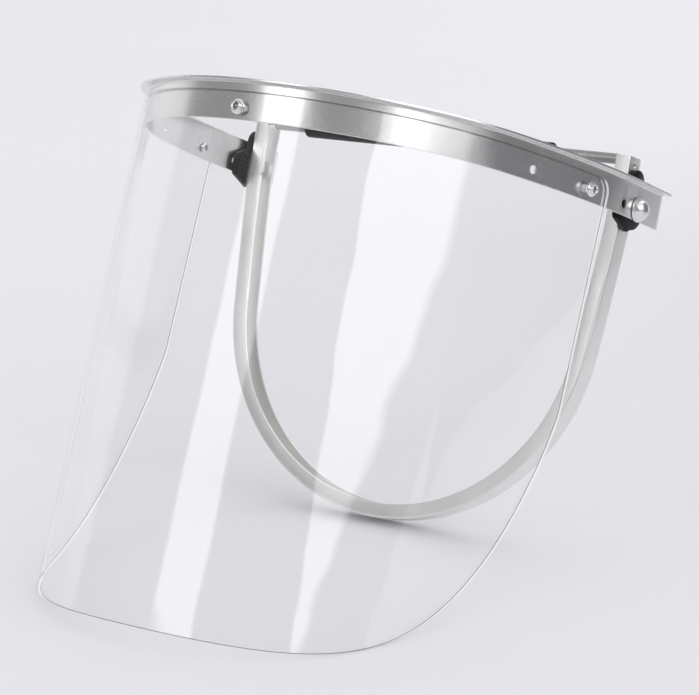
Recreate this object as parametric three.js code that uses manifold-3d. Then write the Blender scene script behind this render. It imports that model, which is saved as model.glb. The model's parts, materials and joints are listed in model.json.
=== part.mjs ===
// Face shield for a brimmed hard hat: a clear window on an aluminium visor bracket,
// which tips up and down on two rivets set in a spring-closed channel that grips the
// hat's brim.
//
// Millimetres, +Z up, the front faces -Y. The shield stands on the front of its brim
// channel and on the window's lower edge, with the visor tipped up.

import * as THREE from 'three';
import { mergeVertices } from 'three/addons/utils/BufferGeometryUtils.js';
import Module from 'manifold-3d';

const wasm = await Module();
wasm.setup();

// ---------- Driving dimensions ----------

const GAP = 0.3; // air left between neighbouring pieces
const RUNNING = 0.1; // radial clearance of the pivots in the bracket
const ROUND_SIDES = 20;
const BAND_STEPS = 60;
const VISOR_PITCH = THREE.MathUtils.degToRad(22.2); // visor's front raised above level
const CHANNEL_PITCH = THREE.MathUtils.degToRad(20); // channel leans forward of upright

// Visor bracket: an angle section bent in plan. Lengths run along the band from its
// front centre, each bend is [length, radius], and the last one makes the legs parallel.
const BRACKET = {
  front: 172.9, // ahead of the pivot axis
  bends: [[80, 110.4], [50, 93.2], [80, 345]],
  easing: 16,
  behind: 24, // leg behind the pivot axis
  thickness: 1.2,
  height: 18.5,
  above: 13, // top edge above the pivot axis
  lip: 4.8,
};
const SPARE_HOLE = { places: [-141, 148], radius: 2.1 };
const DETENT_HOLE = { ahead: 14.3, radius: 2.1 };

// Window: one clear sheet on the outside of the bracket.
const WINDOW = {
  thickness: 1.8,
  halfTop: 203.5, // half its width along the sheet, at the top
  halfSide: 200.7, // the same where the sides start to round
  below: 5.4, // top edge below the bracket's
  sideEnd: 117, // depths below the bracket's top edge
  bottom: 250,
  corner: 8,
  lean: 0.029, // how far the sheet leans out, per unit of depth below the bracket
  powerAcross: 3.92, // the lower edge is a superellipse
  powerDown: 1.22,
};

const WINDOW_RIVET = {
  places: { front: 0, left: -188, right: 188 },
  shank: 1.6,
  bore: 1.35,
  dish: 1.7,
  head: 3.7,
  boss: 2.6,
  bossHeight: 2.7,
  tailLength: 1.8,
};
const MANDREL = { radius: 1.05, ball: 1.4, ballLength: 0.9 };

// Brim channel: a U section bent in plan, open towards the hat.
const CHANNEL = {
  front: 169.2,
  bends: [[90, 106.3], [66, 104.9], [60, 3000]],
  easing: 12,
  behind: 25,
  width: 12.6,
  depth: 7.6,
  wall: 1,
};

const PIVOT_RIVET = { shank: 2.2, dome: 5.65, rim: 6.1, rimHeight: 0.6, tail: 3.4, tailLength: 1.5 };
const PIVOT_WASHER = { radius: 4.7, thickness: 1 };
const CLICK_DISC = {
  front: 16.6, // radius of the part that backs the detent hole
  frontTurns: [1.17, 1.85], // where it starts and ends, from down the channel to visor up
  rear: 10.2,
  tailLength: 19,
  tailHalf: 6.4,
  lug: [11.6, 2.8],
};

// Spring across the back of the channel, with a rubber sleeve loose on it.
const SPRING = { radius: 2.7, bore: 1.7, belowEnd: 1.4, shortOfLip: 1.5 };
const HOOK = { wire: 0.6, hole: 1.5, holeBelowEnd: 3.6, drop: 2.2 };
const SLEEVE = { radius: 4.9, bore: 3.05, length: 146, centre: -8 };

// ---------- Materials ----------

const material = (color, roughness, metalness, extra = {}) =>
  new THREE.MeshStandardMaterial({ color, roughness, metalness, ...extra });

const polishedAluminium = material(0xc9cacc, 0.18, 1);
const satinAluminium = material(0xd5d3ce, 0.42, 1);
const rivetAluminium = material(0xd9dadb, 0.25, 1);
const springSteel = material(0x9b9da0, 0.3, 1);
const blackPlastic = material(0x111112, 0.38, 0);
const blackRubber = material(0x161617, 0.7, 0);
const clearSheet = material(0xf2f5f7, 0.03, 0, { transparent: true, opacity: 0.3 });

// ---------- Plans of the bent bands ----------

// A band's plan, mirrored about the front centre. Places on it are measured along it,
// positive on the right; the heading turns from +X at the front to +Y in the legs.
class BandPlan {
  constructor({ front, bends, easing }) {
    const turned = bends.reduce((sum, [length, radius]) => sum + length / radius, 0);
    this.front = front;
    this.bends = [...bends, [easing, easing / (Math.PI / 2 - turned)]];
    const legStart = this.bends.reduce((sum, [length]) => sum + length, 0);
    this.pivot = legStart - this.at(legStart).y;
    this.halfWidth = this.at(this.pivot).x;
  }

  at(place) {
    let x = 0;
    let y = -this.front;
    let heading = 0;
    let left = Math.abs(place);
    for (const [length, radius] of this.bends) {
      const run = Math.min(left, length);
      const next = heading + run / radius;
      x += radius * (Math.sin(next) - Math.sin(heading));
      y += radius * (Math.cos(heading) - Math.cos(next));
      heading = next;
      left -= run;
    }
    const side = place < 0 ? -1 : 1;
    x += left * Math.cos(heading);
    y += left * Math.sin(heading);
    return { x: side * x, y, heading: side * heading };
  }

  // The point at a place on the band, a distance out from it and up from its plane.
  point(place, out, up) {
    const { x, y, heading } = this.at(place);
    return new THREE.Vector3(x + out * Math.sin(heading), y - out * Math.cos(heading), up);
  }
}

const bracketPlan = new BandPlan(BRACKET);
const channelPlan = new BandPlan(CHANNEL);

// ---------- Solids ----------

function toSolid(geometry) {
  const bare = geometry.clone();
  bare.deleteAttribute('normal');
  bare.deleteAttribute('uv');
  const merged = mergeVertices(bare, 1e-4);
  return new wasm.Manifold(new wasm.Mesh({
    numProp: 3,
    vertProperties: new Float32Array(merged.attributes.position.array),
    triVerts: new Uint32Array(merged.index.array),
  }));
}

function toGeometry(solid) {
  const mesh = solid.getMesh();
  const geometry = new THREE.BufferGeometry();
  geometry.setAttribute('position', new THREE.BufferAttribute(mesh.vertProperties, 3));
  geometry.setIndex(new THREE.BufferAttribute(mesh.triVerts, 1));
  return geometry;
}

function cut(geometry, tools) {
  return toGeometry(tools.reduce((solid, tool) => solid.subtract(toSolid(tool)), toSolid(geometry)));
}

// Moves every vertex of a geometry to where shape(x, y, z) says.
function reshape(geometry, shape) {
  const position = geometry.attributes.position;
  for (let i = 0; i < position.count; i += 1) {
    const { x, y, z } = shape(position.getX(i), position.getY(i), position.getZ(i));
    position.setXYZ(i, x, y, z);
  }
  return geometry;
}

// A straight extrusion of a section, [out, up] points, bent round a plan.
function bentBand(section, plan, halfLength) {
  const outline = new THREE.Shape(section.map(([out, up]) => new THREE.Vector2(out, up)));
  const options = { depth: 2 * halfLength, steps: BAND_STEPS, bevelEnabled: false };
  const straight = new THREE.ExtrudeGeometry(outline, options);
  return reshape(straight, (out, up, along) => plan.point(halfLength - along, out, up));
}

// A turned piece: [radius, out] points round an axis that faces out of a band's front.
function turned(profile) {
  const points = profile.map(([radius, out]) => new THREE.Vector2(radius, out));
  return new THREE.LatheGeometry(points, ROUND_SIDES).rotateZ(Math.PI);
}

// A hole's cutting tool, through a band at a place on its plan.
function drill(plan, place, radius, up = 0) {
  const { x, y, heading } = plan.at(place);
  return new THREE.CylinderGeometry(radius, radius, 8, ROUND_SIDES)
    .rotateZ(heading)
    .translate(x, y, up);
}

// Quarter round from [radius, from] up to the axis at [0, from + height].
function dome(radius, from, height, steps) {
  return Array.from({ length: steps + 1 }, (_, i) => {
    const turn = (i / steps) * (Math.PI / 2);
    return [i === steps ? 0 : radius * Math.cos(turn), from + height * Math.sin(turn)];
  });
}

// ---------- Visor: bracket, window and the rivets between them ----------

function visorBracket() {
  const { thickness, height, above, lip } = BRACKET;
  const section = [
    [lip, above],
    [-thickness, above],
    [-thickness, above - height],
    [0, above - height],
    [0, above - thickness],
    [lip, above - thickness],
  ];
  const { pivot } = bracketPlan;
  const holes = [
    ...Object.values(WINDOW_RIVET.places).map((place) => [place, WINDOW_RIVET.shank + GAP]),
    ...SPARE_HOLE.places.map((place) => [place, SPARE_HOLE.radius]),
    ...[-1, 1].map((side) => [side * (pivot - DETENT_HOLE.ahead), DETENT_HOLE.radius]),
    ...[-1, 1].map((side) => [side * pivot, PIVOT_RIVET.shank + RUNNING]),
  ];
  const band = bentBand(section, bracketPlan, pivot + BRACKET.behind);
  return cut(band, holes.map(([place, radius]) => drill(bracketPlan, place, radius)));
}

// Depth of the window's edges below the bracket's top, at a share of its half width.
function windowTop(share) {
  const { below, corner, halfTop } = WINDOW;
  const past = Math.max(0, Math.abs(share) * halfTop - (halfTop - corner));
  return below + corner - Math.sqrt(corner ** 2 - past ** 2);
}

function windowBottom(share) {
  const { sideEnd, bottom, powerAcross, powerDown } = WINDOW;
  const rest = Math.max(0, 1 - Math.abs(share) ** powerAcross);
  return sideEnd + (bottom - sideEnd) * rest ** (1 / powerDown);
}

// The sheet is a slab whose columns crowd towards its sides, wrapped round the bracket.
function windowSheet() {
  const { halfTop, halfSide, below, sideEnd, thickness, lean } = WINDOW;
  const slab = new THREE.BoxGeometry(1, 1, 1, 60, 8, 1);
  const sheet = reshape(slab, (across, up, out) => {
    const share = Math.sin(Math.PI * across);
    const depth = THREE.MathUtils.lerp(windowBottom(share), windowTop(share), up + 0.5);
    const taper = THREE.MathUtils.clamp((depth - below) / (sideEnd - below), 0, 1);
    const half = THREE.MathUtils.lerp(halfTop, halfSide, taper);
    const offset = GAP + thickness * (out + 0.5);
    const point = bracketPlan.point(share * half, offset, BRACKET.above - depth);
    point.y -= lean * Math.max(0, depth - BRACKET.height);
    return point;
  });
  const places = Object.values(WINDOW_RIVET.places);
  return cut(sheet, places.map((place) => drill(bracketPlan, place, WINDOW_RIVET.shank + GAP)));
}

// Distances out from the web's outer face, shared by the rivet and its mandrel.
const HEAD_SEAT = WINDOW.thickness + 2 * GAP;
const BOSS_TOP = HEAD_SEAT + WINDOW_RIVET.bossHeight;
const TAIL_SEAT = -BRACKET.thickness - GAP;
const TAIL_END = TAIL_SEAT - WINDOW_RIVET.tailLength;
const POCKET_END = TAIL_END + MANDREL.ballLength + GAP;

function windowRivet() {
  const { shank, bore, dish, head, boss } = WINDOW_RIVET;
  const pocket = MANDREL.ball + GAP;
  return turned([
    [pocket, TAIL_END],
    [boss - 0.5, TAIL_END],
    [boss, TAIL_END + 0.6],
    [boss, TAIL_SEAT],
    [shank, TAIL_SEAT],
    [shank, HEAD_SEAT],
    [head, HEAD_SEAT],
    [head, HEAD_SEAT + 0.5],
    [boss + 0.2, HEAD_SEAT + 1.1],
    [boss, BOSS_TOP - 0.4],
    [boss - 0.4, BOSS_TOP],
    [dish, BOSS_TOP],
    [bore, BOSS_TOP - 0.8],
    [bore, POCKET_END],
    [pocket, POCKET_END],
    [pocket, TAIL_END],
  ]);
}

function mandrel() {
  const { radius, ball, ballLength } = MANDREL;
  return turned([
    [0, TAIL_END],
    [ball * 0.7, TAIL_END + 0.1],
    [ball, TAIL_END + 0.4],
    [ball, TAIL_END + ballLength],
    [radius, TAIL_END + ballLength],
    [radius, BOSS_TOP - 0.7],
    [radius * 0.6, BOSS_TOP - 0.4],
    [0, BOSS_TOP - 0.4],
  ]);
}

// ---------- Brim mount: channel, pivots and spring ----------

function brimChannel() {
  const { width, depth, wall, behind } = CHANNEL;
  const half = width / 2;
  const section = [
    [0, -half],
    [0, half],
    [-depth, half],
    [-depth, half - wall],
    [-wall, half - wall],
    [-wall, wall - half],
    [-depth, wall - half],
    [-depth, -half],
  ];
  const end = channelPlan.pivot + behind;
  const holes = [-1, 1].flatMap((side) => [
    drill(channelPlan, side * channelPlan.pivot, PIVOT_RIVET.shank + GAP),
    drill(channelPlan, side * (end - HOOK.holeBelowEnd), HOOK.hole),
  ]);
  return cut(bentBand(section, channelPlan, end), holes);
}

// Distances out from the bracket leg's outer face, along a pivot.
const DISC_OUTER = -BRACKET.thickness - 1.5 * GAP;
const DISC_INNER = channelPlan.halfWidth + GAP - bracketPlan.halfWidth;
const WASHER_SEAT = DISC_INNER - 2 * GAP - CHANNEL.wall;
const PIVOT_TAIL_SEAT = WASHER_SEAT - PIVOT_WASHER.thickness - GAP;

function pivotRivet() {
  const { shank, dome: radius, rim, rimHeight, tail, tailLength } = PIVOT_RIVET;
  const end = PIVOT_TAIL_SEAT - tailLength;
  return turned([
    [0, end],
    [tail - 0.4, end],
    [tail, end + 0.4],
    [tail, PIVOT_TAIL_SEAT],
    [shank, PIVOT_TAIL_SEAT],
    [shank, GAP],
    [rim, GAP],
    [rim, GAP + rimHeight],
    ...dome(radius, GAP + rimHeight, radius - rimHeight, 6),
  ]);
}

function pivotWasher() {
  const bore = PIVOT_RIVET.shank + GAP;
  const { radius, thickness } = PIVOT_WASHER;
  const inner = WASHER_SEAT - thickness;
  return turned([[bore, inner], [radius, inner], [radius, WASHER_SEAT], [bore, WASHER_SEAT], [bore, inner]]);
}

// Side view with the channel's front to the right and the raised visor's front up. The
// widest part backs the detent hole when the visor is up, a lug does when it is down,
// and the tail lies along the channel's leg.
function clickDisc() {
  const { front, frontTurns, rear, tailLength, tailHalf, lug } = CLICK_DISC;
  const outline = new THREE.Shape();
  const rearStart = Math.PI + Math.asin(tailHalf / rear);
  outline.absarc(0, 0, front, ...frontTurns, false);
  outline.lineTo(-tailHalf - 3, tailHalf);
  outline.absarc(tailHalf - tailLength, 0, tailHalf, Math.PI / 2, Math.PI * 1.5, false);
  outline.absarc(0, 0, rear, rearStart, Math.PI * 2, false);
  outline.lineTo(...lug);
  const bore = new THREE.Path().absarc(0, 0, PIVOT_RIVET.shank + GAP, 0, Math.PI * 2, true);
  outline.holes.push(bore);
  const options = { depth: DISC_OUTER - DISC_INNER, bevelEnabled: false, curveSegments: 12 };
  const towardsLeft = new THREE.Matrix4().makeBasis(
    new THREE.Vector3(0, -1, 0),
    new THREE.Vector3(0, 0, 1),
    new THREE.Vector3(-1, 0, 0),
  );
  return new THREE.ExtrudeGeometry(outline, options).applyMatrix4(towardsLeft);
}

// The spring's line in the channel's frame: across the groove near the legs' ends.
const springY = CHANNEL.behind - SPRING.belowEnd;
const springHalf = channelPlan.halfWidth - CHANNEL.depth - SPRING.shortOfLip;

function tube(radius, bore, length) {
  const half = length / 2;
  return turned([[bore, -half], [radius, -half], [radius, half], [bore, half], [bore, -half]])
    .rotateZ(Math.PI / 2);
}

// Wire from the spring's end, through the hole in the channel and down outside it.
function springHook() {
  const holeY = CHANNEL.behind - HOOK.holeBelowEnd;
  const out = channelPlan.halfWidth;
  const route = new THREE.CatmullRomCurve3([
    new THREE.Vector3(springHalf + GAP, springY, 0),
    new THREE.Vector3(out - 4.5, springY, 0),
    new THREE.Vector3(out - 2, holeY, 0),
    new THREE.Vector3(out + 0.5, holeY, 0),
    new THREE.Vector3(out + 1.5, holeY - HOOK.drop * 0.45, 0),
    new THREE.Vector3(out + 1.5, holeY - HOOK.drop, 0),
  ]);
  const wire = new THREE.Shape().absarc(0, 0, HOOK.wire, 0, Math.PI * 2, false);
  return new THREE.ExtrudeGeometry(wire, { extrudePath: route, steps: 16, curveSegments: 4 });
}

// ---------- Assembly ----------

function named(name, geometry, finish) {
  const mesh = new THREE.Mesh(geometry, finish);
  mesh.name = name;
  return mesh;
}

// A piece on a band's plan, turned to face out of it.
function onBand(mesh, plan, place) {
  const { x, y, heading } = plan.at(place);
  mesh.position.set(x, y, 0);
  mesh.rotation.z = heading;
  return mesh;
}

function buildVisor() {
  const visor = new THREE.Group();
  visor.add(named('visor_bracket', visorBracket(), polishedAluminium));
  visor.add(named('window', windowSheet(), clearSheet));
  for (const [side, place] of Object.entries(WINDOW_RIVET.places)) {
    const rivet = named(`window_rivet_${side}`, windowRivet(), rivetAluminium);
    const stem = named(`rivet_mandrel_${side}`, mandrel(), springSteel);
    visor.add(onBand(rivet, bracketPlan, place), onBand(stem, bracketPlan, place));
  }
  return visor;
}

function buildBrimMount() {
  const mount = new THREE.Group();
  mount.add(named('brim_channel', brimChannel(), satinAluminium));
  for (const [name, side] of [['left', -1], ['right', 1]]) {
    const disc = named(`click_disc_${name}`, clickDisc(), blackPlastic);
    disc.position.x = side * bracketPlan.halfWidth + (side > 0 ? DISC_OUTER : -DISC_INNER);
    const rivet = named(`pivot_rivet_${name}`, pivotRivet(), rivetAluminium);
    const washer = named(`pivot_washer_${name}`, pivotWasher(), springSteel);
    const place = side * bracketPlan.pivot;
    mount.add(disc, onBand(rivet, bracketPlan, place), onBand(washer, bracketPlan, place));
    const hook = named(`spring_hook_${name}`, springHook(), springSteel);
    hook.rotation.y = side > 0 ? 0 : Math.PI;
    mount.add(hook);
  }
  const spring = named('spring', tube(SPRING.radius, SPRING.bore, 2 * springHalf), springSteel);
  spring.position.set(0, springY, 0);
  const sleeve = named('sleeve', tube(SLEEVE.radius, SLEEVE.bore, SLEEVE.length), blackRubber);
  sleeve.position.set(SLEEVE.centre, springY, 0);
  mount.add(spring, sleeve);
  return mount;
}

const visor = buildVisor();
visor.rotation.x = -VISOR_PITCH;
const brimMount = buildBrimMount();
brimMount.rotation.x = Math.PI / 2 - CHANNEL_PITCH;

const faceShield = new THREE.Group();
faceShield.add(visor, brimMount);
const extent = new THREE.Box3().setFromObject(faceShield, true);
faceShield.position.set(0, -(extent.min.y + extent.max.y) / 2, -extent.min.z);

export default faceShield;
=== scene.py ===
import json
import math

import bmesh
import bpy
import numpy as np
from mathutils import Matrix, Vector

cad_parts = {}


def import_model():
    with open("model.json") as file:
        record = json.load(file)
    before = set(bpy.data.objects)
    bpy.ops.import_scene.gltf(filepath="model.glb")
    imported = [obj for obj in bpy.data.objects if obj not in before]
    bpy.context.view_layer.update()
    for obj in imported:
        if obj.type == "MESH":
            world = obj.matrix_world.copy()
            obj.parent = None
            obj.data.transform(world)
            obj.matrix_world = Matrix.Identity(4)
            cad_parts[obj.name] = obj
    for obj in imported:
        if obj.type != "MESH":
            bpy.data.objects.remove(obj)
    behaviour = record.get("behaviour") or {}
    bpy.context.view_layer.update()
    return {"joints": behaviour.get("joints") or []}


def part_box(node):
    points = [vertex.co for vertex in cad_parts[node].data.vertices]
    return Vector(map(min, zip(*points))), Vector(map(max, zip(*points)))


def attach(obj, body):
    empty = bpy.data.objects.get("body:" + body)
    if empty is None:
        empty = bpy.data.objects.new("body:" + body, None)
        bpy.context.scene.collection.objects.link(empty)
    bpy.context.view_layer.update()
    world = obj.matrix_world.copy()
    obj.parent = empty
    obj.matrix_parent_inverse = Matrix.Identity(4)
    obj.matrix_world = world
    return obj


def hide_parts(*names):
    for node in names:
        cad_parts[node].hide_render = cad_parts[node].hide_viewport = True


# Looks for a tip-up face shield: a clear window on a polished bracket, pivoted on a
# satin brim channel that a spring closes. Lengths below are millimetres; the bracket
# and the channel are described in their own planes, front towards -Y, pivot at 0.

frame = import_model()

MM = 0.001
GAP = 0.3
VISOR_PITCH = math.radians(22.2)
CHANNEL_PITCH = math.radians(20)

BRACKET = dict(front=172.9, bends=[(80, 110.4), (50, 93.2), (80, 345)], easing=16)
BRACKET_THICKNESS = 1.2
BRACKET_HEIGHT = 18.5
BRACKET_ABOVE = 13
BRACKET_LIP = 4.8
BRACKET_BEHIND = 24
SPARE_HOLES = (-141, 148)
DETENT_AHEAD = 14.3
SMALL_HOLE = 2.1

WINDOW_THICKNESS = 1.8
WINDOW_ARRIS = 0.3
WINDOW_HALF_TOP = 203.5
WINDOW_HALF_SIDE = 200.7
WINDOW_TOP = 5.4
WINDOW_SIDE_END = 117
WINDOW_BOTTOM = 250
WINDOW_CORNER = 8
WINDOW_LEAN = 0.029
WINDOW_POWERS = (3.92, 1.22)

RIVET_PLACES = dict(front=0, left=-188, right=188)
RIVET_SHANK = 1.6

CHANNEL = dict(front=169.2, bends=[(90, 106.3), (66, 104.9), (60, 3000)], easing=12)
CHANNEL_WIDTH = 12.6
CHANNEL_DEPTH = 7.6
CHANNEL_WALL = 1
CHANNEL_BEHIND = 25

PIVOT_SHANK = 2.2
PIVOT_DOME = 5.65
PIVOT_RIM = 6.1
PIVOT_TAIL = 3.4
WASHER_RADIUS = 4.7
WASHER_THICKNESS = 1
CLICK_DISC = dict(
    front=16.6, front_turns=(1.17, 1.85), rear=10.2, tail_length=19, tail_half=6.4, lug=(11.6, 2.8)
)
SPRING_RADIUS = 2.7
SPRING_WIRE = 0.35
SPRING_PITCH = 1.02
SPRING_BELOW_END = 1.4
SPRING_SHORT_OF_LIP = 1.5
HOOK_WIRE = 0.5
HOOK_HOLE = 1.5
HOOK_BELOW_END = 3.6
SLEEVE_RADIUS = 4.9
SLEEVE_BORE = 3.05

pivot = Vector(next(j for j in frame["joints"] if j["name"] == "visor_pivot")["pos_m"])
VISOR = Matrix.Translation(pivot) @ Matrix.Rotation(-VISOR_PITCH, 4, "X") @ Matrix.Scale(MM, 4)
MOUNT = (
    Matrix.Translation(pivot)
    @ Matrix.Rotation(math.pi / 2 - CHANNEL_PITCH, 4, "X")
    @ Matrix.Scale(MM, 4)
)


# ---------- Plans of the bent bands ----------

class BandPlan:
    """A band's plan, mirrored about the front centre. Places are lengths along it."""

    def __init__(self, front, bends, easing):
        turned = sum(length / radius for length, radius in bends)
        self.front = front
        self.bends = bends + [(easing, easing / (math.pi / 2 - turned))]
        leg_start = sum(length for length, _ in self.bends)
        self.pivot = leg_start - self.at(leg_start)[1]
        self.half_width = self.at(self.pivot)[0]

    def at(self, place):
        x, y, heading, left = 0.0, -self.front, 0.0, abs(place)
        for length, radius in self.bends:
            run = min(left, length)
            end = heading + run / radius
            x += radius * (math.sin(end) - math.sin(heading))
            y += radius * (math.cos(heading) - math.cos(end))
            heading = end
            left -= run
        side = -1 if place < 0 else 1
        x += left * math.cos(heading)
        y += left * math.sin(heading)
        return side * x, y, side * heading

    def point(self, place, out, up):
        x, y, heading = self.at(place)
        return Vector((x + out * math.sin(heading), y - out * math.cos(heading), up))


bracket_plan = BandPlan(**BRACKET)
channel_plan = BandPlan(**CHANNEL)


# ---------- Mesh helpers ----------

def make_object(name, vertices, faces, matrix=Matrix.Identity(4), uvs=None):
    mesh = bpy.data.meshes.new(name)
    mesh.from_pydata([matrix @ Vector(v) for v in vertices], [], faces)
    if uvs is not None:
        layer = mesh.uv_layers.new(name="Length")
        for loop in mesh.loops:
            layer.data[loop.index].uv = uvs[loop.vertex_index]
    tidy = bmesh.new()
    tidy.from_mesh(mesh)
    bmesh.ops.recalc_face_normals(tidy, faces=tidy.faces)
    tidy.to_mesh(mesh)
    tidy.free()
    obj = bpy.data.objects.new(name, mesh)
    bpy.context.scene.collection.objects.link(obj)
    return obj


def bake_modifiers(obj):
    """Applies the object's modifiers to its mesh."""
    graph = bpy.context.evaluated_depsgraph_get()
    mesh = bpy.data.meshes.new_from_object(obj.evaluated_get(graph), depsgraph=graph)
    obj.modifiers.clear()
    obj.data = mesh


def smooth(obj, angle=32):
    obj.data.polygons.foreach_set("use_smooth", [True] * len(obj.data.polygons))
    obj.data.set_sharp_from_angle(angle=math.radians(angle))
    return obj


def bevel(obj, width, segments=2, angle=40):
    modifier = obj.modifiers.new("edges", "BEVEL")
    modifier.width = width * MM
    modifier.segments = segments
    modifier.limit_method = "ANGLE"
    modifier.angle_limit = math.radians(angle)
    modifier.use_clamp_overlap = True
    bake_modifiers(obj)


def punch(obj, cutters):
    """Cuts the cutters out of obj and removes them."""
    for cutter in cutters:
        modifier = obj.modifiers.new("hole", "BOOLEAN")
        modifier.object = cutter
        modifier.operation = "DIFFERENCE"
        modifier.solver = "EXACT"
    bake_modifiers(obj)
    for cutter in cutters:
        bpy.data.objects.remove(cutter)


def rounded(points, radii, steps=5):
    """A closed outline with its corners rounded, one radius for each point."""
    result = []
    count = len(points)
    for i, (point, radius) in enumerate(zip(points, radii)):
        corner = Vector(point)
        before = Vector(points[i - 1]) - corner
        after = Vector(points[(i + 1) % count]) - corner
        if radius <= 0:
            result.append(tuple(corner))
            continue
        half = before.angle(after) / 2
        reach = min(radius / math.tan(half), 0.49 * before.length, 0.49 * after.length)
        start = corner + before.normalized() * reach
        end = corner + after.normalized() * reach
        for k in range(steps + 1):
            t = k / steps
            bend = (1 - t) ** 2 * start + 2 * t * (1 - t) * corner + t ** 2 * end
            result.append(tuple(bend))
    return result


def swept_band(name, plan, section, half_length, steps, matrix):
    """A closed section, (out, up) points, swept along a band's plan."""
    places = [half_length * (2 * i / steps - 1) for i in range(steps + 1)]
    size = len(section)
    across = [0.0]
    for a, b in zip(section, section[1:]):
        across.append(across[-1] + math.dist(a, b))
    vertices = [plan.point(place, out, up) for place in places for out, up in section]
    uvs = [(place * MM, run * MM) for place in places for run in across]
    faces = [
        (i * size + j, i * size + (j + 1) % size, (i + 1) * size + (j + 1) % size, (i + 1) * size + j)
        for i in range(steps)
        for j in range(size)
    ]
    faces.append(tuple(range(size)))
    faces.append(tuple(steps * size + j for j in range(size)))
    return make_object(name, vertices, faces, matrix, uvs)


def on_band(plan, place, matrix):
    """Places a piece that faces out (-Y) at a place on a band's plan."""
    x, y, heading = plan.at(place)
    return matrix @ Matrix.Translation((x, y, 0)) @ Matrix.Rotation(heading, 4, "Z")


def turned(name, profile, matrix, sides=48):
    """A turned piece: (radius, out) points round an axis that faces -Y."""
    vertices, rings = [], []
    for radius, out in profile:
        if radius < 1e-6:
            rings.append([len(vertices)])
            vertices.append((0, -out, 0))
            continue
        rings.append(list(range(len(vertices), len(vertices) + sides)))
        for k in range(sides):
            angle = 2 * math.pi * k / sides
            vertices.append((radius * math.cos(angle), -out, radius * math.sin(angle)))
    on_axis = len(rings[0]) == 1
    pairs = list(zip(rings, rings[1:])) + ([] if on_axis else [(rings[-1], rings[0])])
    faces = []
    for low, high in pairs:
        for k in range(sides):
            n = (k + 1) % sides
            if len(low) == 1:
                faces.append((low[0], high[n], high[k]))
            elif len(high) == 1:
                faces.append((low[k], low[n], high[0]))
            else:
                faces.append((low[k], low[n], high[n], high[k]))
    return make_object(name, vertices, faces, matrix)


def wire(name, points, radius, sides, matrix):
    """A round wire along a line of points, closed at both ends."""
    points = [Vector(p) for p in points]
    tangents = [
        (points[min(i + 1, len(points) - 1)] - points[max(i - 1, 0)]).normalized()
        for i in range(len(points))
    ]
    normal = tangents[0].orthogonal().normalized()
    vertices, uvs, length = [], [], 0.0
    for i, (point, tangent) in enumerate(zip(points, tangents)):
        normal = (normal - tangent * normal.dot(tangent)).normalized()
        other = tangent.cross(normal)
        length += (point - points[i - 1]).length if i else 0
        for k in range(sides):
            angle = 2 * math.pi * k / sides
            vertices.append(point + radius * (math.cos(angle) * normal + math.sin(angle) * other))
            uvs.append((length * MM, k / sides * radius * MM))
    faces = [
        (i * sides + k, i * sides + (k + 1) % sides, (i + 1) * sides + (k + 1) % sides, (i + 1) * sides + k)
        for i in range(len(points) - 1)
        for k in range(sides)
    ]
    faces.append(tuple(range(sides)))
    faces.append(tuple((len(points) - 1) * sides + k for k in range(sides)))
    return make_object(name, vertices, faces, matrix, uvs)


def hole_cutter(plan, place, radius, matrix):
    reach = 4
    profile = [(0, -reach), (radius, -reach), (radius, reach), (0, reach)]
    return turned("cutter", profile, on_band(plan, place, matrix), 32)


def finish_piece(obj, body, node, slot, *materials):
    obj.data.materials.clear()
    for material in materials:
        obj.data.materials.append(material)
    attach(obj, body)
    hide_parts(node)
    return obj


# ---------- Materials ----------

class Nodes:
    """A material's node tree, built by short calls."""

    def __init__(self, name):
        self.material = bpy.data.materials.new(name)
        self.material.use_nodes = True
        self.tree = self.material.node_tree
        self.tree.nodes.clear()
        self.output = self.tree.nodes.new("ShaderNodeOutputMaterial")

    def add(self, kind, inputs=None, **settings):
        node = self.tree.nodes.new("ShaderNode" + kind)
        for key, value in settings.items():
            setattr(node, key, value)
        for key, value in (inputs or {}).items():
            if isinstance(value, bpy.types.NodeSocket):
                self.tree.links.new(value, node.inputs[key])
            else:
                node.inputs[key].default_value = value
        return node

    def noise(self, vector, scale, detail=3, roughness=0.55):
        inputs = dict(Vector=vector, Scale=scale, Detail=detail, Roughness=roughness)
        return self.add("TexNoise", inputs).outputs["Fac"]

    def spread(self, value, low, high, start=0.3, end=0.7):
        """value between start and end, mapped to low and high."""
        inputs = {"Value": value, "From Min": start, "From Max": end, "To Min": low, "To Max": high}
        return self.add("MapRange", inputs).outputs["Result"]

    def math(self, operation, a, b=0.0):
        return self.add("Math", {0: a, 1: b}, operation=operation).outputs[0]

    def mix_colour(self, factor, a, b):
        node = self.add("Mix", data_type="RGBA")
        for socket, value in ((node.inputs[0], factor), (node.inputs[6], a), (node.inputs[7], b)):
            if isinstance(value, bpy.types.NodeSocket):
                self.tree.links.new(value, socket)
            else:
                socket.default_value = value
        return node.outputs[2]

    def bump(self, height, distance, strength=1.0, normal=None):
        inputs = dict(Height=height, Distance=distance, Strength=strength)
        if normal is not None:
            inputs["Normal"] = normal
        return self.add("Bump", inputs).outputs["Normal"]

    def surface(self, socket):
        self.tree.links.new(socket, self.output.inputs["Surface"])
        return self.material


def along_band(nodes, along, across):
    """Coordinates along and across a band, scaled apart so that grain runs with it."""
    uv = nodes.add("UVMap", uv_map="Length").outputs["UV"]
    return nodes.add("Mapping", {"Vector": uv, "Scale": (along, across, 1)}).outputs["Vector"]


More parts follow.
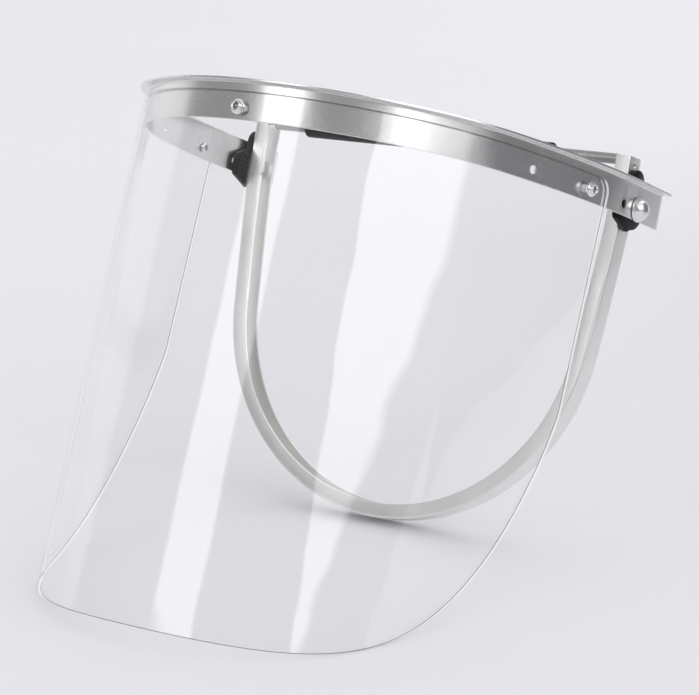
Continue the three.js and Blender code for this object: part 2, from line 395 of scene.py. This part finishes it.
def metal(name, colour, roughness, grain, wear=0.05, banded=False):
    """A metal with fine grain, slight smears in its roughness and small scratches."""
    nodes = Nodes(name)
    place = nodes.add("TexCoord").outputs["Object"]
    lines = along_band(nodes, 60, 5200) if banded else place
    fine = nodes.noise(lines, 1 if banded else 900, 4)
    smear = nodes.noise(place, 38, 4)
    scratch_place = along_band(nodes, 160, 1500) if banded else place
    scratch = nodes.spread(nodes.noise(scratch_place, 1 if banded else 350, 2), 0, 1, 0.68, 0.74)
    smeared = nodes.spread(smear, roughness * 0.8, roughness * 1.25)
    rough = nodes.math("ADD", smeared, nodes.math("MULTIPLY", scratch, 0.08))
    worn = (colour[0] * 0.6, colour[1] * 0.6, colour[2] * 0.58, 1)
    tint = nodes.mix_colour(nodes.spread(smear, 0, wear), (*colour, 1), worn)
    normal = nodes.bump(fine, grain * MM)
    shader = nodes.add("BsdfPrincipled", {
        "Base Color": tint, "Metallic": 1.0, "Roughness": rough, "Normal": normal,
    })
    return nodes.surface(shader.outputs[0])


def plastic(name, colour, roughness, grain, scale):
    """Moulded plastic or rubber with a fine uneven skin and a little dust."""
    nodes = Nodes(name)
    place = nodes.add("TexCoord").outputs["Object"]
    skin = nodes.noise(place, scale, 5)
    patches = nodes.noise(place, scale / 14, 3)
    dusty = tuple(c * 1.8 + 0.002 for c in colour)
    tint = nodes.mix_colour(nodes.spread(patches, 0, 0.7, 0.4, 0.75), (*colour, 1), (*dusty, 1))
    rough = nodes.spread(skin, roughness * 0.85, min(1, roughness * 1.2))
    normal = nodes.bump(skin, grain * MM)
    shader = nodes.add("BsdfPrincipled", {
        "Base Color": tint, "Roughness": rough, "Normal": normal, "Specular IOR Level": 0.13,
    })
    return nodes.surface(shader.outputs[0])


def clear_sheet():
    """Clear plastic sheet: lets everything through but a Fresnel share of reflection."""
    nodes = Nodes("clear_sheet")
    place = nodes.add("TexCoord").outputs["Object"]
    waves = nodes.bump(nodes.noise(place, 9, 2, 0.4), 1.6 * MM)
    facing = nodes.add("LayerWeight", {"Blend": 0.5, "Normal": waves}).outputs["Facing"]
    grazing = nodes.math("POWER", facing, 5)
    share = nodes.math("ADD", nodes.math("MULTIPLY", grazing, 0.9), 0.048)
    haze = nodes.spread(nodes.noise(place, 22, 4), 0.02, 0.05)
    gloss = nodes.add("BsdfGlossy", {"Color": (1, 1, 1, 1), "Roughness": haze, "Normal": waves})
    clear = nodes.add("BsdfTransparent", {"Color": (0.994, 0.996, 0.997, 1)})
    both = nodes.add("MixShader", {0: share, 1: clear.outputs[0], 2: gloss.outputs[0]})
    return nodes.surface(both.outputs[0])


def sheet_edge_painted_glow():
    """The sheet's cut edge: frosted by the cutter, and given a painted glow (emission) for light
    coming through the sheet; where it faces down it is mostly clear, so it shows darker there as painted
    shade."""
    nodes = Nodes("sheet_edge_painted_glow")
    place = nodes.add("TexCoord").outputs["Object"]
    marks = nodes.noise(place, 700, 3)
    normal = nodes.bump(marks, 0.05 * MM)
    rough = nodes.spread(marks, 0.12, 0.3)
    faces = nodes.add("SeparateXYZ", {0: nodes.add("NewGeometry").outputs["Normal"]}).outputs["Z"]
    # Faces that point down get mostly the clear shader, so the edge shows darker there: painted shade.
    share = nodes.spread(faces, 0.2, 0.85, -0.75, -0.5)
    # The white emission is a painted glow: the edge shines by itself, as if lit through the sheet.
    glowing_frosted_edge = nodes.add("BsdfPrincipled", {
        "Base Color": (0.93, 0.94, 0.95, 1), "Roughness": rough, "Normal": normal, "IOR": 1.58,
        "Emission Color": (1, 1, 1, 1), "Emission Strength": 0.24,
    })
    clear = nodes.add("BsdfTransparent", {"Color": (0.9, 0.92, 0.93, 1)})
    both = nodes.add("MixShader", {0: share, 1: clear.outputs[0], 2: glowing_frosted_edge.outputs[0]})
    return nodes.surface(both.outputs[0])


def sheet_arris_painted_shade():
    """The narrow broken corners of the cut edge, coloured dark grey so they show as thin grey lines:
    painted shade for the dark lines that refraction makes there.
    """
    nodes = Nodes("sheet_arris_painted_shade")
    place = nodes.add("TexCoord").outputs["Object"]
    marks = nodes.noise(place, 500, 3)
    rough = nodes.spread(marks, 0.1, 0.25)
    # The dark grey base colour and the grey see-through tint below are painted shade, in place of
    # refraction's dark lines at the edge corners.
    gloss = nodes.add("BsdfPrincipled", {
        "Base Color": (0.12, 0.122, 0.122, 1), "Roughness": rough, "Specular IOR Level": 0.3,
    })
    clear = nodes.add("BsdfTransparent", {"Color": (0.66, 0.67, 0.67, 1)})
    share = nodes.spread(marks, 0.28, 0.45)
    both = nodes.add("MixShader", {0: share, 1: clear.outputs[0], 2: gloss.outputs[0]})
    return nodes.surface(both.outputs[0])


polished = metal("polished_aluminium", (0.8, 0.8, 0.795), 0.23, 0.008, banded=True)
satin = metal("satin_aluminium", (0.87, 0.86, 0.845), 0.36, 0.02, banded=True)
rivet_metal = metal("rivet_aluminium", (0.82, 0.82, 0.83), 0.2, 0.01)
spring_steel = metal("spring_steel", (0.4, 0.4, 0.4), 0.2, 0.004)
black_plastic = plastic("black_plastic", (0.003, 0.003, 0.0035), 0.22, 0.05, 420)
black_rubber = plastic("black_rubber", (0.004, 0.004, 0.004), 0.42, 0.08, 260)
window_clear = clear_sheet()
window_edge_painted_glow = sheet_edge_painted_glow()
window_arris_painted_shade = sheet_arris_painted_shade()


# ---------- Visor ----------

def visor_bracket():
    above, below = BRACKET_ABOVE, BRACKET_ABOVE - BRACKET_HEIGHT
    section = rounded(
        [
            (BRACKET_LIP, above),
            (-BRACKET_THICKNESS, above),
            (-BRACKET_THICKNESS, below),
            (0, below),
            (0, above - BRACKET_THICKNESS),
            (BRACKET_LIP, above - BRACKET_THICKNESS),
        ],
        [0.35, 1.7, 0.3, 0.3, 0.6, 0.35],
    )
    length = bracket_plan.pivot + BRACKET_BEHIND
    band = swept_band("visor_bracket_band", bracket_plan, section, length, 220, VISOR)
    bevel(band, 0.2, 2, 50)
    holes = [(place, RIVET_SHANK + GAP) for place in RIVET_PLACES.values()]
    holes += [(place, SMALL_HOLE) for place in SPARE_HOLES]
    for side in (-1, 1):
        holes.append((side * (bracket_plan.pivot - DETENT_AHEAD), SMALL_HOLE))
        holes.append((side * bracket_plan.pivot, PIVOT_SHANK + 0.1))
    punch(band, [hole_cutter(bracket_plan, place, radius, VISOR) for place, radius in holes])
    return finish_piece(smooth(band), "visor", "visor_bracket", "bracket", polished)


def window_top(share):
    past = max(0, abs(share) * WINDOW_HALF_TOP - (WINDOW_HALF_TOP - WINDOW_CORNER))
    return WINDOW_TOP + WINDOW_CORNER - math.sqrt(WINDOW_CORNER ** 2 - past ** 2)


def window_bottom(share):
    across, down = WINDOW_POWERS
    rest = max(0, 1 - abs(share) ** across)
    return WINDOW_SIDE_END + (WINDOW_BOTTOM - WINDOW_SIDE_END) * rest ** (1 / down)


def window_point(share, drop, out, inset=0):
    """A point of the sheet: share of its half width, share of its height, distance out."""
    height = window_bottom(share) - window_top(share) - 2 * inset
    depth = window_top(share) + inset + height * drop
    taper = min(1, max(0, (depth - WINDOW_TOP) / (WINDOW_SIDE_END - WINDOW_TOP)))
    half = WINDOW_HALF_TOP + (WINDOW_HALF_SIDE - WINDOW_HALF_TOP) * taper
    point = bracket_plan.point(share * (half - inset), GAP + out, BRACKET_ABOVE - depth)
    point.y -= WINDOW_LEAN * max(0, depth - BRACKET_HEIGHT)
    return point


def window_sheet():
    columns, rows = 180, 48
    shares = [math.sin(math.pi * (i / columns - 0.5)) for i in range(columns + 1)]
    vertices = [
        window_point(share, j / rows, out, WINDOW_ARRIS)
        for out in (0, WINDOW_THICKNESS)
        for share in shares
        for j in range(rows + 1)
    ]
    side = (columns + 1) * (rows + 1)

    def index(layer, i, j):
        return layer * side + i * (rows + 1) + j

    faces = []
    for i in range(columns):
        for j in range(rows):
            corners = ((i, j), (i + 1, j), (i + 1, j + 1), (i, j + 1))
            faces.append(tuple(index(0, *c) for c in corners))
            faces.append(tuple(index(1, *c) for c in reversed(corners)))
    rim = [(i, 0) for i in range(columns)] + [(columns, j) for j in range(rows)]
    rim += [(i, rows) for i in range(columns, 0, -1)] + [(0, j) for j in range(rows, 0, -1)]
    rings = [[index(0, *place) for place in rim]]
    for out in (WINDOW_ARRIS, WINDOW_THICKNESS - WINDOW_ARRIS):
        rings.append(list(range(len(vertices), len(vertices) + len(rim))))
        vertices += [window_point(shares[i], j / rows, out) for i, j in rim]
    rings.append([index(1, *place) for place in rim])
    for low, high in zip(rings, rings[1:]):
        for k in range(len(rim)):
            n = (k + 1) % len(rim)
            faces.append((low[k], high[k], high[n], low[n]))
    sheet = make_object("window_sheet", vertices, faces, VISOR)
    bore = RIVET_SHANK + GAP
    punch(sheet, [hole_cutter(bracket_plan, place, bore, VISOR) for place in RIVET_PLACES.values()])
    smooth(sheet, 40)
    finish_piece(sheet, "visor", "window", "window", window_clear, window_edge_painted_glow, window_arris_painted_shade)
    mark_edge_faces(sheet)
    return sheet


def mark_edge_faces(sheet):
    """Gives the edge materials to the faces that don't lie in the sheet."""
    places = np.linspace(-WINDOW_HALF_TOP, WINDOW_HALF_TOP, 900)
    plan = np.array([bracket_plan.at(place) for place in places])
    inverse = VISOR.inverted()
    turn = inverse.to_3x3()
    for face in sheet.data.polygons:
        centre = inverse @ face.center
        nearest = np.argmin((plan[:, 0] - centre.x) ** 2 + (plan[:, 1] - centre.y) ** 2)
        heading = plan[nearest, 2]
        out = Vector((math.sin(heading), -math.cos(heading), 0))
        facing = abs((turn @ face.normal).normalized().dot(out))
        if facing < 0.93:
            face.material_index = 1 if facing < 0.3 else 2


HEAD_SEAT = WINDOW_THICKNESS + 2 * GAP
BOSS_TOP = HEAD_SEAT + 2.7
TAIL_SEAT = -BRACKET_THICKNESS - GAP
TAIL_END = TAIL_SEAT - 1.8


def window_rivet(side, place):
    shank, bore, dish, head, boss, pocket = RIVET_SHANK, 1.35, 1.7, 3.6, 2.5, 1.5
    profile = rounded(
        [
            (pocket, TAIL_END), (boss - 0.3, TAIL_END), (boss, TAIL_SEAT - 0.9), (boss - 0.2, TAIL_SEAT),
            (shank, TAIL_SEAT), (shank, HEAD_SEAT), (head, HEAD_SEAT), (head - 0.1, HEAD_SEAT + 0.8),
            (boss + 0.2, HEAD_SEAT + 1.1), (boss - 0.1, BOSS_TOP), (dish + 0.1, BOSS_TOP - 0.05),
            (bore, BOSS_TOP - 0.8), (bore, TAIL_END + 1.2), (pocket, TAIL_END + 1.2),
        ],
        [0.15, 0.5, 0.5, 0.15, 0.1, 0.1, 0.15, 0.35, 0.4, 0.45, 0.3, 0.2, 0.1, 0.1],
        4,
    )
    rivet = turned(f"window_rivet_{side}_body", profile, on_band(bracket_plan, place, VISOR))
    finish_piece(smooth(rivet, 50), "visor", f"window_rivet_{side}", "rivet", rivet_metal)
    pin_profile = [
        (0, TAIL_END + 0.02), (0.8, TAIL_END + 0.06), (1.25, TAIL_END + 0.3), (1.4, TAIL_END + 0.6),
        (1.25, TAIL_END + 0.85), (1.05, TAIL_END + 0.9), (1.05, BOSS_TOP - 0.85), (0.8, BOSS_TOP - 0.62),
        (0.35, BOSS_TOP - 0.5), (0, BOSS_TOP - 0.6),
    ]
    pin = turned(f"rivet_mandrel_{side}_pin", pin_profile, on_band(bracket_plan, place, VISOR), 32)
    finish_piece(smooth(pin, 50), "visor", f"rivet_mandrel_{side}", "steel", spring_steel)


# ---------- Brim mount ----------

def brim_channel():
    half, depth, wall = CHANNEL_WIDTH / 2, CHANNEL_DEPTH, CHANNEL_WALL
    section = rounded(
        [
            (0, -half), (0, half), (-depth, half), (-depth, half - wall),
            (-wall, half - wall), (-wall, wall - half), (-depth, wall - half), (-depth, -half),
        ],
        [1.5, 1.5, 0.3, 0.3, 0.7, 0.7, 0.3, 0.3],
    )
    end = channel_plan.pivot + CHANNEL_BEHIND
    band = swept_band("brim_channel_band", channel_plan, section, end, 220, MOUNT)
    bevel(band, 0.2, 2, 50)
    holes = []
    for side in (-1, 1):
        holes.append(hole_cutter(channel_plan, side * channel_plan.pivot, PIVOT_SHANK + GAP, MOUNT))
        holes.append(hole_cutter(channel_plan, side * (end - HOOK_BELOW_END), HOOK_HOLE, MOUNT))
    punch(band, holes)
    return finish_piece(smooth(band), "brim_mount", "brim_channel", "channel", satin)


DISC_OUTER = -BRACKET_THICKNESS - 1.5 * GAP
DISC_INNER = channel_plan.half_width + GAP - bracket_plan.half_width
WASHER_SEAT = DISC_INNER - 2 * GAP - CHANNEL_WALL
PIVOT_TAIL_SEAT = WASHER_SEAT - WASHER_THICKNESS - GAP


def arc(radius, start, end, steps, centre=(0, 0)):
    return [
        (centre[0] + radius * math.cos(start + (end - start) * k / steps),
         centre[1] + radius * math.sin(start + (end - start) * k / steps))
        for k in range(steps + 1)
    ]


def click_disc(side_name, side):
    """Seen from the side: front to +x, the visor's raised side up, the tail to -x."""
    front, front_turns, rear, tail_length, tail_half, lug = CLICK_DISC.values()
    outline = arc(front, *front_turns, 14)
    outline.append((-tail_half - 3, tail_half))
    outline += arc(tail_half, math.pi / 2, math.pi * 1.5, 18, (tail_half - tail_length, 0))
    outline += arc(rear, math.pi + math.asin(tail_half / rear), math.pi * 2, 26)
    outline.append(lug)
    bore = PIVOT_SHANK + GAP
    plane = MOUNT @ Matrix.Translation((side * bracket_plan.half_width, 0, 0))
    outer, inner = side * DISC_OUTER, side * DISC_INNER

    def slab(name, points, start, end):
        count = len(points)
        vertices = [(x, -forward, up) for x in (start, end) for forward, up in points]
        faces = [(k, (k + 1) % count, count + (k + 1) % count, count + k) for k in range(count)]
        faces.append(tuple(range(count)))
        faces.append(tuple(range(count, 2 * count)))
        return make_object(name, vertices, faces, plane)

    disc = slab(f"click_disc_{side_name}_body", outline, outer, inner)
    bevel(disc, 0.5, 3, 40)
    punch(disc, [turned("cutter", [(0, -9), (bore, -9), (bore, 9), (0, 9)],
                        plane @ Matrix.Rotation(math.pi / 2, 4, "Z"), 32)])
    ribs = []
    for turn in np.linspace(0.8, 1.95, 6):
        inside, outside, half = 7.4, 11.8, 0.55
        along = Vector((math.cos(turn), math.sin(turn)))
        across = Vector((-along.y, along.x)) * half
        corners = [along * inside - across, along * outside - across]
        corners += [along * outside + across, along * inside + across]
        rib = slab("rib", [tuple(c) for c in corners], inner + side * 0.2, inner - side * 0.9)
        bevel(rib, 0.3, 3, 40)
        ribs.append(rib)
    join(disc, ribs)
    finish_piece(smooth(disc, 45), "brim_mount", f"click_disc_{side_name}", "disc", black_plastic)


def join(obj, others):
    """Adds the others' meshes to obj and removes them."""
    merged = bmesh.new()
    for source in (obj, *others):
        merged.from_mesh(source.data)
    merged.to_mesh(obj.data)
    merged.free()
    for other in others:
        bpy.data.objects.remove(other)


def pivot_fastening(side_name, side):
    seat, shank, rim, dome, tail = PIVOT_TAIL_SEAT, PIVOT_SHANK, PIVOT_RIM, PIVOT_DOME, PIVOT_TAIL
    rim_top = GAP + 0.6
    profile = [
        (0, seat - 1.5), (tail - 0.6, seat - 1.5), (tail - 0.15, seat - 1.3), (tail, seat - 0.9),
        (tail, seat), (shank, seat), (shank, GAP), (rim - 0.1, GAP), (rim, GAP + 0.1),
        (rim, rim_top - 0.2), (rim - 0.15, rim_top), (dome + 0.1, rim_top + 0.02),
    ]
    height = dome - 0.6
    for k in range(1, 17):
        turn = math.pi / 2 * k / 16
        profile.append((0 if k == 16 else dome * math.cos(turn), rim_top + height * math.sin(turn)))
    place = on_band(bracket_plan, side * bracket_plan.pivot, MOUNT)
    rivet = turned(f"pivot_rivet_{side_name}_dome", profile, place)
    finish_piece(smooth(rivet, 40), "brim_mount", f"pivot_rivet_{side_name}", "rivet", rivet_metal)
    bore = shank + GAP
    back = WASHER_SEAT - WASHER_THICKNESS
    corners = [(bore, back), (WASHER_RADIUS, back), (WASHER_RADIUS, WASHER_SEAT), (bore, WASHER_SEAT)]
    ring = rounded(corners, [0.15, 0.3, 0.15, 0.15], 3)
    washer = turned(f"pivot_washer_{side_name}_ring", ring, place)
    finish_piece(smooth(washer, 40), "brim_mount", f"pivot_washer_{side_name}", "steel", spring_steel)


spring_y = CHANNEL_BEHIND - SPRING_BELOW_END
spring_half = channel_plan.half_width - CHANNEL_DEPTH - SPRING_SHORT_OF_LIP


def spring_coil():
    mean = SPRING_RADIUS - SPRING_WIRE
    turns = int(2 * spring_half / SPRING_PITCH)
    per_turn = 14
    points = []
    for k in range(turns * per_turn + 1):
        angle = 2 * math.pi * k / per_turn
        x = -spring_half + SPRING_WIRE + (2 * spring_half - 2 * SPRING_WIRE) * k / (turns * per_turn)
        points.append((x, spring_y + mean * math.cos(angle), mean * math.sin(angle)))
    coil = wire("spring_coil", points, SPRING_WIRE, 8, MOUNT)
    finish_piece(smooth(coil, 60), "brim_mount", "spring", "steel", spring_steel)


def catmull(points, steps):
    """A smooth line through the points."""
    points = [Vector(p) for p in points]
    ends = [2 * points[0] - points[1]] + points + [2 * points[-1] - points[-2]]
    line = []
    for a, b, c, d in zip(ends, ends[1:], ends[2:], ends[3:]):
        for k in range(steps):
            t = k / steps
            line.append(0.5 * (2 * b + (c - a) * t + (2 * a - 5 * b + 4 * c - d) * t ** 2
                               + (3 * b - a - 3 * c + d) * t ** 3))
    return line + [points[-1]]


def spring_hook(side_name, side):
    hole_y = CHANNEL_BEHIND - HOOK_BELOW_END
    out = channel_plan.half_width
    route = [
        (spring_half + GAP, spring_y, 0), (out - 4.5, spring_y, 0), (out - 2, hole_y, 0),
        (out + 0.5, hole_y, 0), (out + 1.5, hole_y - 1, 0), (out + 1.5, hole_y - 2.2, 0),
    ]
    points = catmull([(side * x, y, side * z) for x, y, z in route], 8)
    hook = wire(f"spring_hook_{side_name}_wire", points, HOOK_WIRE, 14, MOUNT)
    finish_piece(smooth(hook, 60), "brim_mount", f"spring_hook_{side_name}", "steel", spring_steel)


def sleeve():
    low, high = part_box("sleeve")
    length = (high.x - low.x) / MM
    centre = (high.x + low.x) / 2 / MM
    half = length / 2
    outside = [(SLEEVE_RADIUS, -half + half * k / 20) for k in range(41)]
    profile = [(SLEEVE_BORE, -half), *outside, (SLEEVE_BORE, half)]
    profile = rounded(profile, [0.3, 0.6] + [0] * 39 + [0.6, 0.3], 4)
    place = MOUNT @ Matrix.Translation((centre, spring_y, 0)) @ Matrix.Rotation(math.pi / 2, 4, "Z")
    tube = turned("sleeve_tube", profile, place)
    finish_piece(smooth(tube, 50), "spring_sleeve", "sleeve", "sleeve", black_rubber)


visor_bracket()
window_sheet()
for side_name, place in RIVET_PLACES.items():
    window_rivet(side_name, place)
brim_channel()
for side_name, side in (("left", -1), ("right", 1)):
    click_disc(side_name, side)
    pivot_fastening(side_name, side)
    spring_hook(side_name, side)
spring_coil()
sleeve()


# ---------- Studio ----------

def floor():
    size = 9
    corners = [(-size, -size, 0), (size, -size, 0), (size, size, 0), (-size, size, 0)]
    plane = make_object("floor", corners, [(0, 1, 2, 3)])
    nodes = Nodes("floor_paper")
    place = nodes.add("TexCoord").outputs["Object"]
    patches = nodes.spread(nodes.noise(place, 1.2, 2), 0, 1)
    tone = nodes.mix_colour(patches, (0.80, 0.795, 0.825, 1), (0.82, 0.815, 0.84, 1))
    shader = nodes.add("BsdfPrincipled", {"Base Color": tone, "Roughness": 0.9, "Specular IOR Level": 0.1})
    plane.data.materials.append(nodes.surface(shader.outputs[0]))


DARK = 0.32
PANEL = 0.95
CEILING = 0.95
SOFTBOX = 2.3


def world():
    """Studio seen by the piece: dark towards the camera, two softboxes, a pale panel at
    the left, a ceiling. Angles are degrees: turn from -Y towards +X, and height."""
    scene_world = bpy.data.worlds.new("studio")
    bpy.context.scene.world = scene_world
    scene_world.use_nodes = True
    tree = scene_world.node_tree
    tree.nodes.clear()

    def add(kind, *inputs, **settings):
        node = tree.nodes.new("ShaderNode" + kind)
        for key, value in settings.items():
            setattr(node, key, value)
        for socket, value in zip(node.inputs, inputs):
            if isinstance(value, bpy.types.NodeSocket):
                tree.links.new(value, socket)
            else:
                socket.default_value = value
        return node

    def maths(operation, *values):
        return add("Math", *values, operation=operation).outputs[0]

    def past(value, edge, soft=0.7):
        """0 before the edge, 1 past it."""
        return add("MapRange", value, edge - soft, edge + soft, 0.0, 1.0).outputs[0]

    def every(*values):
        result = values[0]
        for value in values[1:]:
            result = maths("MULTIPLY", result, value)
        return result

    def before(value, edge, soft=0.7):
        return maths("SUBTRACT", 1.0, past(value, edge, soft))

    axes = add("SeparateXYZ", add("TexCoord").outputs["Generated"]).outputs
    turn = maths("DEGREES", maths("ARCTAN2", axes[0], maths("MULTIPLY", axes[1], -1.0)))
    height = maths("DEGREES", maths("ARCSINE", axes[2]))
    panel = maths("MAXIMUM", before(turn, -76.0, 1.5), past(turn, 168.0, 6.0))
    light = maths("ADD", maths("MULTIPLY", panel, PANEL - DARK), DARK)
    ceiling = past(height, 47.0, 6.0)
    light = maths("ADD", light, maths("MULTIPLY", ceiling, maths("SUBTRACT", CEILING, light)))
    left_box = every(past(turn, -27.0), before(turn, -3.0), past(height, 19.2), before(height, 41.0))
    right_edge = maths("SUBTRACT", turn, maths("MULTIPLY", maths("SUBTRACT", 27.0, height), 0.64))
    aside = maths("MAXIMUM", maths("SUBTRACT", turn, 66.0), 0.0)
    lower_edge = maths("ADD", height, maths("MULTIPLY", aside, 1 / 5.5))
    right_box = every(
        past(right_edge, 39.5), before(turn, 100.0), past(lower_edge, 13.2), before(height, 44.0)
    )
    boxes = maths("ADD", left_box, right_box)
    light = maths("ADD", light, maths("MULTIPLY", boxes, maths("SUBTRACT", SOFTBOX, light)))
    seen = add("Background", (0.80, 0.795, 0.82, 1), 1.0)
    lit = add("Background", (0.985, 0.98, 0.995, 1), light)
    both = add("MixShader", add("LightPath").outputs["Is Camera Ray"], lit.outputs[0], seen.outputs[0])
    tree.links.new(both.outputs[0], add("OutputWorld").inputs["Surface"])


def dark_card():
    """A grey card at the right and behind, out of the picture, for the bracket to mirror."""
    turn, distance, half, height = math.radians(125), 0.75, 0.38, 0.55
    centre = Vector((math.sin(turn), -math.cos(turn), 0)) * distance
    across = Vector((math.cos(turn), math.sin(turn), 0)) * half
    base = Vector((0, 0, 0.002))
    corners = [centre - across + base, centre + across + base]
    corners += [corner + Vector((0, 0, height)) for corner in reversed(corners)]
    card = make_object("dark_card", corners, [(0, 1, 2, 3)])
    nodes = Nodes("card_grey")
    place = nodes.add("TexCoord").outputs["Object"]
    tone = nodes.mix_colour(nodes.noise(place, 3, 2), (0.27, 0.27, 0.275, 1), (0.31, 0.31, 0.315, 1))
    shader = nodes.add("BsdfPrincipled", {"Base Color": tone, "Roughness": 0.9})
    card.data.materials.append(nodes.surface(shader.outputs[0]))
    card.visible_camera = False


def area_light(name, place, target, size, power, colour=(1, 1, 1)):
    lamp = bpy.data.lights.new(name, "AREA")
    lamp.shape = "RECTANGLE"
    lamp.size, lamp.size_y = size
    lamp.energy = power
    lamp.color = colour
    obj = bpy.data.objects.new(name, lamp)
    obj.location = place
    obj.rotation_euler = (Vector(target) - Vector(place)).to_track_quat("-Z", "Y").to_euler()
    obj.visible_camera = False
    bpy.context.scene.collection.objects.link(obj)
    return obj


CAMERA_AZIMUTH = math.radians(34.42)
CAMERA_ELEVATION = math.radians(14.98)
CAMERA_ROLL = math.radians(-1.285)
CAMERA_FROM_PIVOT = Vector((703.47, -1104.57, 267.23)) * MM
LENS = 135.88


def camera():
    data = bpy.data.cameras.new("camera")
    data.sensor_width = 36
    data.lens = LENS
    data.clip_start, data.clip_end = 0.05, 60
    forward = Vector((
        -math.sin(CAMERA_AZIMUTH) * math.cos(CAMERA_ELEVATION),
        math.cos(CAMERA_AZIMUTH) * math.cos(CAMERA_ELEVATION),
        -math.sin(CAMERA_ELEVATION),
    ))
    level = Vector((math.cos(CAMERA_AZIMUTH), math.sin(CAMERA_AZIMUTH), 0))
    upright = level.cross(forward)
    right = math.cos(CAMERA_ROLL) * level + math.sin(CAMERA_ROLL) * upright
    up = math.cos(CAMERA_ROLL) * upright - math.sin(CAMERA_ROLL) * level
    obj = bpy.data.objects.new("camera", data)
    axes = Matrix((right, up, -forward)).transposed().to_4x4()
    obj.matrix_world = Matrix.Translation(pivot + CAMERA_FROM_PIVOT) @ axes
    bpy.context.scene.collection.objects.link(obj)
    bpy.context.scene.camera = obj


floor()
world()
dark_card()
area_light("overhead", (0.3, 1.8, 2.4), (0, 0.9, 0), (2.4, 2.4), 14)
camera()
bpy.context.scene.view_settings.view_transform = "Standard"
